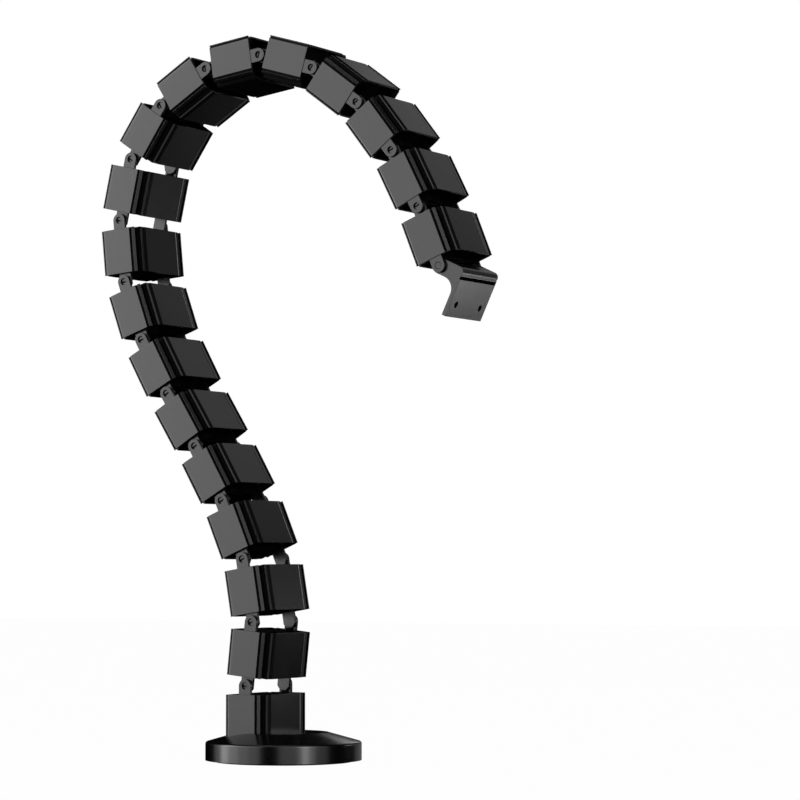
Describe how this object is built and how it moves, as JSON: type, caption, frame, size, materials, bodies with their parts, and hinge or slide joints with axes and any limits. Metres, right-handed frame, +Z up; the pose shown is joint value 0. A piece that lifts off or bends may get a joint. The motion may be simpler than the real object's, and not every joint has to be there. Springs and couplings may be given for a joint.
{
  "type": "cable spine",
  "caption": "Free-standing cable spine: snap-together rectangular open links in a hooked arch, rising from a weighted round base to a screw-on angle bracket.",
  "frame": {"origin": "centre of the round foot pad, on the floor under the middle of the base", "axes": "+Z up; +Y along every hinge pin, away from the viewer; +X the way the top of the hook leans"},
  "size_m": [0.3994, 0.15, 0.697],
  "materials": {
    "black_plastic": "satin moulded",
    "gloss_black_plastic": "gloss moulded",
    "ballast_steel": "as cut",
    "screw_steel": "zinc plated",
    "foot_rubber": "matt"
  },
  "bodies": {
    "base_stack": {"base_cover": "gloss_black_plastic", "base_weight": "ballast_steel", "base_plate": "black_plastic", "cover_screws": "screw_steel", "foot_pad": "foot_rubber", "link_01": "black_plastic"},
    "link_02": {"link_02": "black_plastic"},
    "link_03": {"link_03": "black_plastic"},
    "link_04": {"link_04": "black_plastic"},
    "link_05": {"link_05": "black_plastic"},
    "link_06": {"link_06": "black_plastic"},
    "link_07": {"link_07": "black_plastic"},
    "link_08": {"link_08": "black_plastic"},
    "link_09": {"link_09": "black_plastic"},
    "link_10": {"link_10": "black_plastic"},
    "link_11": {"link_11": "black_plastic"},
    "link_12": {"link_12": "black_plastic"},
    "link_13": {"link_13": "black_plastic"},
    "link_14": {"link_14": "black_plastic"},
    "link_15": {"link_15": "black_plastic"},
    "link_16": {"link_16": "black_plastic"},
    "link_17": {"link_17": "black_plastic"},
    "link_18": {"link_18": "black_plastic"},
    "top_bracket": {"top_bracket": "black_plastic"}
  },
  "joints": [
    {"name": "hinge_01", "type": "hinge", "parent": "base_stack", "child": "link_02", "pos_m": [-0.02, 0, 0.0729], "axis": [0, 1, 0], "range_deg": [-31, 19]},
    {"name": "hinge_02", "type": "hinge", "parent": "link_02", "child": "link_03", "pos_m": [-0.01362, 0, 0.13357], "axis": [0, -1, 0], "range_deg": [-40.5, 9.5]},
    {"name": "hinge_03", "type": "hinge", "parent": "link_03", "child": "link_04", "pos_m": [-0.02369, 0, 0.19373], "axis": [0, 1, 0], "range_deg": [-11.5, 38.5]},
    {"name": "hinge_04", "type": "hinge", "parent": "link_04", "child": "link_05", "pos_m": [-0.04753, 0, 0.24988], "axis": [0, -1, 0], "range_deg": [-32, 18]},
    {"name": "hinge_05", "type": "hinge", "parent": "link_05", "child": "link_06", "pos_m": [-0.07803, 0, 0.30271], "axis": [0, 1, 0], "range_deg": [-23, 27]},
    {"name": "hinge_06", "type": "hinge", "parent": "link_06", "child": "link_07", "pos_m": [-0.11035, 0, 0.35444], "axis": [0, -1, 0], "range_deg": [-22, 28]},
    {"name": "hinge_07", "type": "hinge", "parent": "link_07", "child": "link_08", "pos_m": [-0.13992, 0, 0.40779], "axis": [0, 1, 0], "range_deg": [-34.5, 15.5]},
    {"name": "hinge_08", "type": "hinge", "parent": "link_08", "child": "link_09", "pos_m": [-0.16029, 0, 0.46529], "axis": [0, -1, 0], "range_deg": [-11, 39]},
    {"name": "hinge_09", "type": "hinge", "parent": "link_09", "child": "link_10", "pos_m": [-0.16613, 0, 0.52601], "axis": [0, 1, 0], "range_deg": [-43, 7]},
    {"name": "hinge_10", "type": "hinge", "parent": "link_10", "child": "link_11", "pos_m": [-0.15293, 0, 0.58557], "axis": [0, -1, 0], "range_deg": [-3.5, 46.5]},
    {"name": "hinge_11", "type": "hinge", "parent": "link_11", "child": "link_12", "pos_m": [-0.11882, 0, 0.63614], "axis": [0, 1, 0], "range_deg": [-49, 1]},
    {"name": "hinge_12", "type": "hinge", "parent": "link_12", "child": "link_13", "pos_m": [-0.06709, 0, 0.66846], "axis": [0, -1, 0], "range_deg": [-1.5, 48.5]},
    {"name": "hinge_13", "type": "hinge", "parent": "link_13", "child": "link_14", "pos_m": [-0.00676, 0, 0.67748], "axis": [0, 1, 0], "range_deg": [-49.5, 0.5]},
    {"name": "hinge_14", "type": "hinge", "parent": "link_14", "child": "link_15", "pos_m": [0.05188, 0, 0.66066], "axis": [0, -1, 0], "range_deg": [-4.5, 45.5]},
    {"name": "hinge_15", "type": "hinge", "parent": "link_15", "child": "link_16", "pos_m": [0.10091, 0, 0.62438], "axis": [0, 1, 0], "range_deg": [-40.5, 9.5]},
    {"name": "hinge_16", "type": "hinge", "parent": "link_16", "child": "link_17", "pos_m": [0.13847, 0, 0.57631], "axis": [0, -1, 0], "range_deg": [-14, 36]},
    {"name": "hinge_17", "type": "hinge", "parent": "link_17", "child": "link_18", "pos_m": [0.16616, 0, 0.52196], "axis": [0, 1, 0], "range_deg": [-30, 20]},
    {"name": "bracket_hinge", "type": "hinge", "parent": "link_18", "child": "top_bracket", "pos_m": [0.18901, 0, 0.4654], "axis": [0, -1, 0], "range_deg": [-93, 7]}
  ]
}
